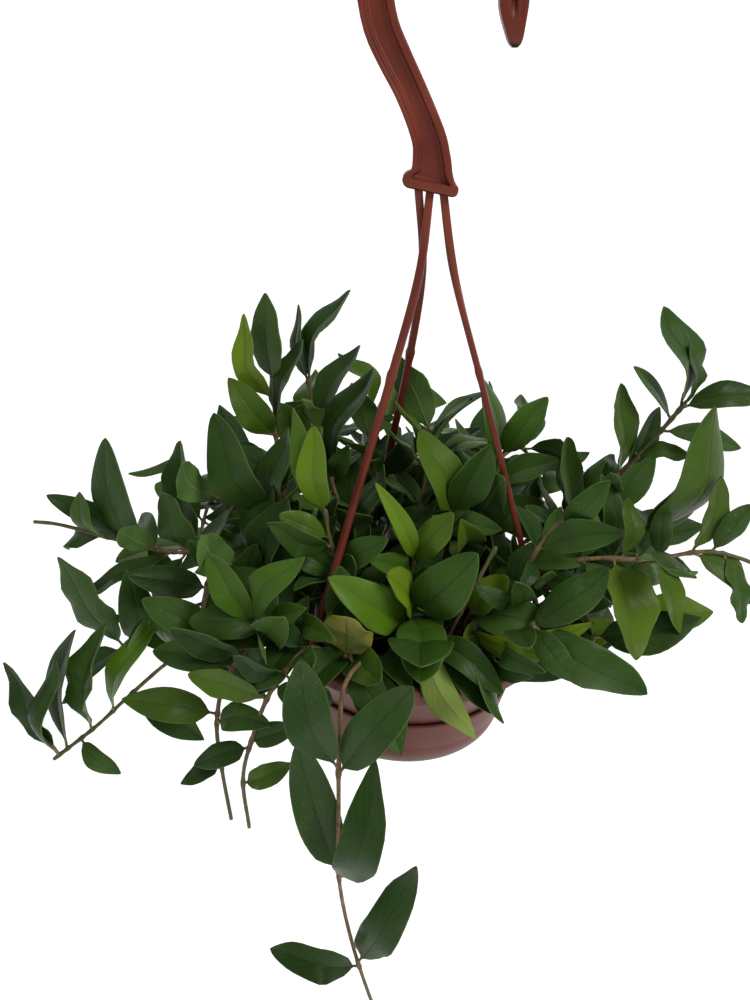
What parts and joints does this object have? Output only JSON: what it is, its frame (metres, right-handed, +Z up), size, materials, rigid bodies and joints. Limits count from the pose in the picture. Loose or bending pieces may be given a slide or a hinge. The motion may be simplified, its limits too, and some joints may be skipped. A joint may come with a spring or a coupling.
{
  "type": "potted lipstick plant",
  "caption": "Leafy trailing lipstick plant in a terracotta-coloured hanging bowl with a clip-on saucer and a moulded three-arm hanger with a hook.",
  "frame": {"origin": "middle of the saucer's flat underside", "axes": "+Z up along the pot's axis to the hook, -Y towards the front of the plant, +X to the viewer's right"},
  "size_m": [0.396, 0.2852, 0.5919],
  "materials": {
    "pot_plastic": "satin terracotta-brown moulded plastic with a soft sheen",
    "hanger_plastic": "satin red-brown moulded plastic, brighter than the bowl",
    "potting_mix": "dark damp peat and bark, rough",
    "leaf": "waxy dark green leaf with a soft sheen and a paler edge",
    "stem": "thin tan-brown woody stem with swollen joints"
  },
  "bodies": {
    "root": {"hanging_pot": "pot_plastic", "saucer": "pot_plastic", "potting_mix": "potting_mix", "hanger_hook": "hanger_plastic", "arm_front": "hanger_plastic", "arm_right": "hanger_plastic", "arm_back": "hanger_plastic", "shoot_front_trail": "leaf", "shoot_crown_middle": "leaf", "shoot_crown_lime": "leaf", "shoot_crown_right": "leaf", "shoot_crown_old": "leaf", "shoot_left_fold": "leaf", "shoot_rise_far_left": "leaf", "shoot_rise_left": "leaf", "shoot_rise_bright": "leaf", "shoot_rise_slender": "leaf", "shoot_rise_middle": "leaf", "shoot_rise_back": "leaf", "shoot_rise_right": "leaf", "shoot_reach_high_right": "leaf", "shoot_reach_right": "leaf", "shoot_reach_level": "leaf", "shoot_reach_curl": "leaf", "shoot_drape_right": "leaf", "shoot_reach_left_long": "leaf", "shoot_reach_left_stub": "leaf", "shoot_drape_left": "leaf", "shoot_drape_left_low": "leaf", "shoot_trail_left": "leaf", "shoot_trail_left_inner": "leaf", "shoot_back_1": "leaf", "shoot_back_2": "leaf", "shoot_back_3": "leaf", "shoot_back_4": "leaf", "shoot_back_5": "leaf", "shoot_back_6": "leaf", "shoot_back_7": "leaf", "shoot_back_8": "leaf", "shoot_back_9": "leaf", "shoot_back_10": "leaf", "shoot_back_11": "leaf", "shoot_back_12": "leaf", "shoot_inner_1": "leaf", "shoot_inner_2": "leaf", "shoot_inner_3": "leaf", "shoot_inner_4": "leaf", "shoot_inner_5": "leaf", "shoot_inner_6": "leaf", "shoot_inner_7": "leaf", "shoot_inner_8": "leaf", "shoot_inner_9": "leaf", "shoot_inner_10": "leaf", "shoot_inner_11": "leaf", "shoot_inner_12": "leaf", "shoot_inner_13": "leaf", "shoot_inner_14": "leaf"}
  },
  "joints": []
}
